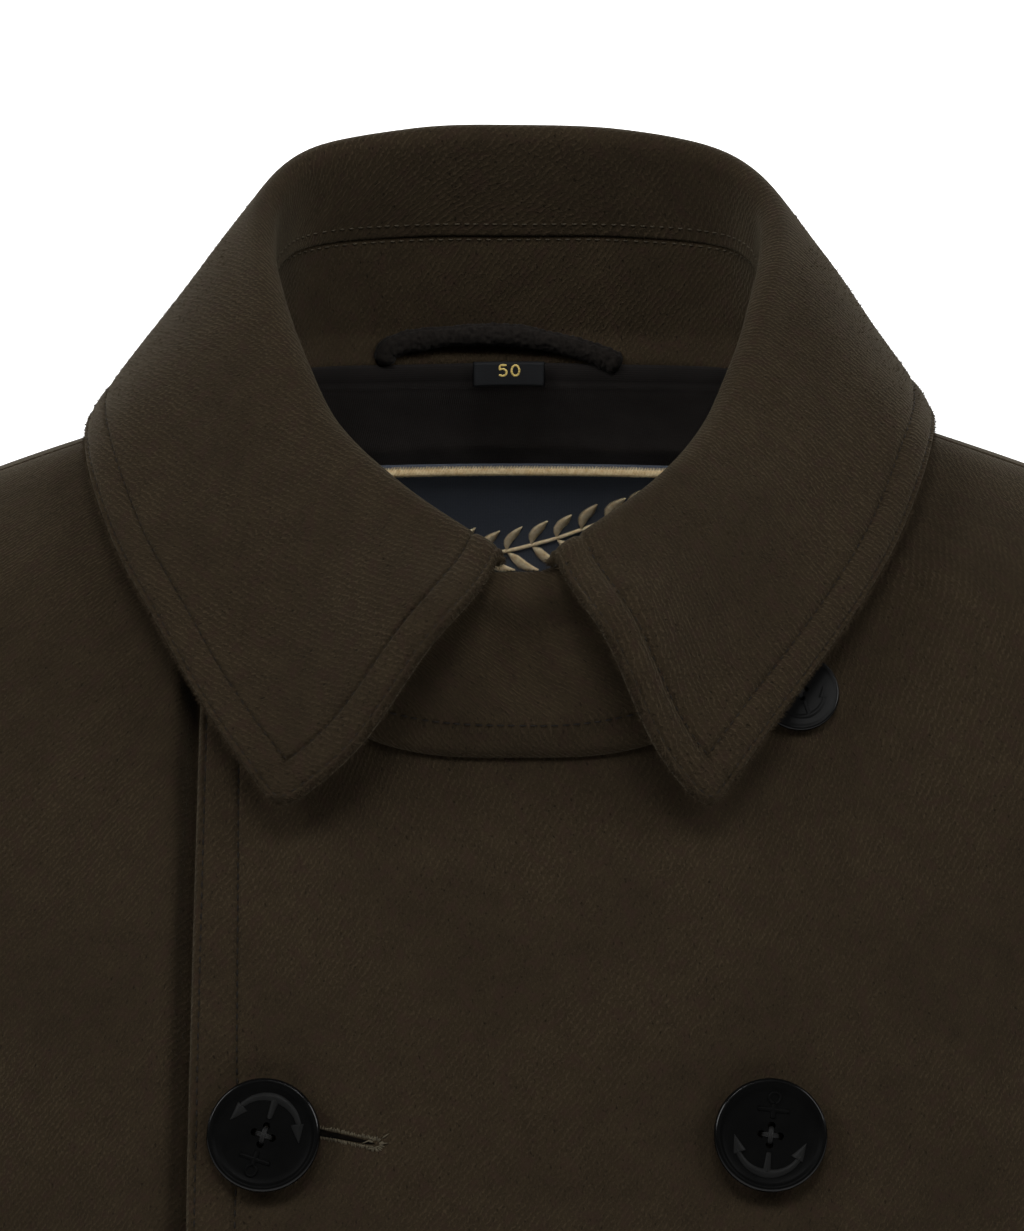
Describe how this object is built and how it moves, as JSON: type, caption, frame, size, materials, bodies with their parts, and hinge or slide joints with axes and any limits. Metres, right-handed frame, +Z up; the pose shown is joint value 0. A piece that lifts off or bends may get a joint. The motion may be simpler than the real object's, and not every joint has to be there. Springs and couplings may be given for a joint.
{
  "type": "double-breasted coat",
  "caption": "Hip-length double-breasted wool coat in worn form: overlapping fronts, set-in sleeves, buttoned stand and turned-down pointed collar, open at neck, cuffs and hem.",
  "frame": {"origin": "middle of the wearer's neck at the height of the shoulder seams", "axes": "+Z up, -Y the way the coat faces, +X towards the wearer's left"},
  "size_m": [0.6948, 0.3028, 0.8686],
  "materials": {
    "wool": "dark olive-brown wool twill with a slight nap",
    "lining": "black lining cloth, matt",
    "label": "navy satin-woven tape",
    "gold_thread": "gold-coloured corded thread",
    "button": "polished black"
  },
  "bodies": {
    "root": {"back": "wool", "front_left": "wool", "front_right": "wool", "sleeve_left": "wool", "sleeve_right": "wool", "collar_stand": "wool", "collar_fall": "wool", "back_lining": "lining", "hanger_loop": "lining", "neck_label": "label", "size_tag": "label", "label_border": "gold_thread", "button_right_1": "button", "button_right_2": "button", "button_right_3": "button", "button_left_1": "button", "button_left_2": "button", "button_left_3": "button", "button_collar": "button"}
  },
  "joints": []
}
